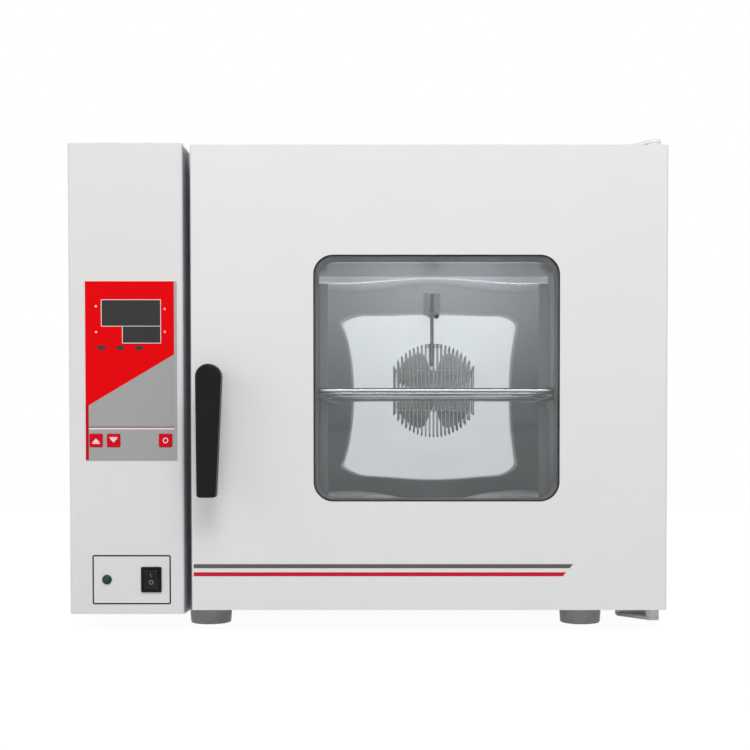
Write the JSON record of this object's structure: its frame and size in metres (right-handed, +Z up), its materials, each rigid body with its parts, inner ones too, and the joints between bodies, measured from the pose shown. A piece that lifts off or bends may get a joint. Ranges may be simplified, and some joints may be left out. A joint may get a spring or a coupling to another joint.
{
  "type": "laboratory incubator",
  "caption": "Benchtop forced-air laboratory incubator with a glazed hinged door, turning latch handle, wire shelf, guarded fan and a side control box.",
  "frame": {"origin": "on the bench plane, under the middle of the whole machine's width and depth, handle and mains inlet included", "axes": "+X to the user's right, -Y towards the user in front, +Z up"},
  "size_m": [0.73, 0.565, 0.602],
  "materials": {
    "cabinet_paint": "fine textured powder coat, pale grey-white",
    "door_paint": "fine textured powder coat, pale grey-white",
    "bracket_paint": "powder coat",
    "satin_steel": "satin stainless sheet",
    "polished_steel": "mirror-polished stainless sheet",
    "bright_wire": "bright drawn wire, spot welded",
    "fan_aluminium": "pressed, satin",
    "window_glass": "clear toughened",
    "window_border": "satin dark grey",
    "mineral_wool": "fibrous",
    "foot_rubber": "matte grey-black",
    "gasket_silicone": "matte silicone",
    "handle_plastic": "fine-grained black nylon",
    "switch_plastic": "black, smooth",
    "machined_steel": "machined, zinc plated",
    "pin_bush_nylon": "white nylon",
    "heater_steel": "heat-toned tube",
    "core_laminations": "stamped laminations",
    "copper_winding": "enamelled wire",
    "overlay_print": "printed film, red over grey",
    "display_dark": "smoked acrylic",
    "indicator_dark": "smoked acrylic",
    "button_red": "smooth",
    "board_green": "solder mask",
    "lamp_green": "unlit green lens",
    "inlet_plastic": "black",
    "cover_zinc": "zinc-plated"
  },
  "bodies": {
    "cabinet": {"cabinet_shell": "cabinet_paint", "base_pan": "cabinet_paint", "rear_panel": "cabinet_paint", "front_frame": "cabinet_paint", "control_box_shell": "cabinet_paint", "control_rear_cover": "cabinet_paint", "chamber_liner": "satin_steel", "chamber_back_panel": "polished_steel", "insulation_jacket": "mineral_wool", "shelf_racks": "satin_steel", "shelf_ledges": "satin_steel", "wire_shelf": "bright_wire", "floor_plate": "satin_steel", "heater_tube": "heater_steel", "fan_guard": "bright_wire", "probe_bracket": "satin_steel", "temperature_probe": "machined_steel", "motor_core": "core_laminations", "motor_coil": "copper_winding", "motor_brackets": "machined_steel", "upper_hinge_bracket": "bracket_paint", "lower_hinge_bracket": "bracket_paint", "hinge_pins": "machined_steel", "latch_keeper": "machined_steel", "front_left_foot": "foot_rubber", "front_right_foot": "foot_rubber", "rear_left_foot": "foot_rubber", "rear_right_foot": "foot_rubber", "control_overlay": "overlay_print", "display_lenses": "display_dark", "display_module": "switch_plastic", "indicator_lenses": "indicator_dark", "circuit_board": "board_green", "pilot_lamp": "lamp_green", "rocker_housing": "switch_plastic", "equipment_plate": "machined_steel", "transformer": "core_laminations", "power_relay": "fan_aluminium", "power_inlet": "inlet_plastic", "cover_screws": "cover_zinc"},
    "fan": {"impeller": "fan_aluminium", "impeller_nut": "machined_steel", "motor_rotor": "machined_steel"},
    "door": {"door_pan": "door_paint", "door_inner_panel": "satin_steel", "outer_glass": "window_glass", "inner_glass": "window_glass", "window_frame": "window_border", "door_insulation": "mineral_wool", "door_gasket": "gasket_silicone", "hinge_bushes": "pin_bush_nylon", "handle_base": "handle_plastic"},
    "handle": {"door_handle": "handle_plastic", "latch_spindle": "machined_steel", "latch_tongue": "machined_steel"},
    "rocker": {"rocker_paddle": "switch_plastic"},
    "up_button": {"up_button": "button_red"},
    "down_button": {"down_button": "button_red"},
    "set_button": {"set_button": "button_red"}
  },
  "joints": [
    {"name": "door_swing", "type": "hinge", "parent": "cabinet", "child": "door", "pos_m": [0.3505, -0.223, 0.31], "axis": [0, 0, 1], "range_deg": [0, 180]},
    {"name": "handle_turn", "type": "hinge", "parent": "door", "child": "handle", "pos_m": [-0.1885, -0.2445, 0.31], "axis": [0, -1, 0], "range_deg": [0, 90]},
    {"name": "fan_spin", "type": "hinge", "parent": "cabinet", "child": "fan", "pos_m": [0.0835, 0.1585, 0.31], "axis": [0, 1, 0], "continuous": true},
    {"name": "power_rocker", "type": "hinge", "parent": "cabinet", "child": "rocker", "pos_m": [-0.265, -0.2405, 0.0644], "axis": [-1, 0, 0], "range_deg": [0, 24]},
    {"name": "up_button_press", "type": "slide", "parent": "cabinet", "child": "up_button", "axis": [0, 1, 0], "range_m": [0, 0.0005], "stiffness_N_per_m": 800},
    {"name": "down_button_press", "type": "slide", "parent": "cabinet", "child": "down_button", "axis": [0, 1, 0], "range_m": [0, 0.0005], "stiffness_N_per_m": 800},
    {"name": "set_button_press", "type": "slide", "parent": "cabinet", "child": "set_button", "axis": [0, 1, 0], "range_m": [0, 0.0005], "stiffness_N_per_m": 800}
  ]
}
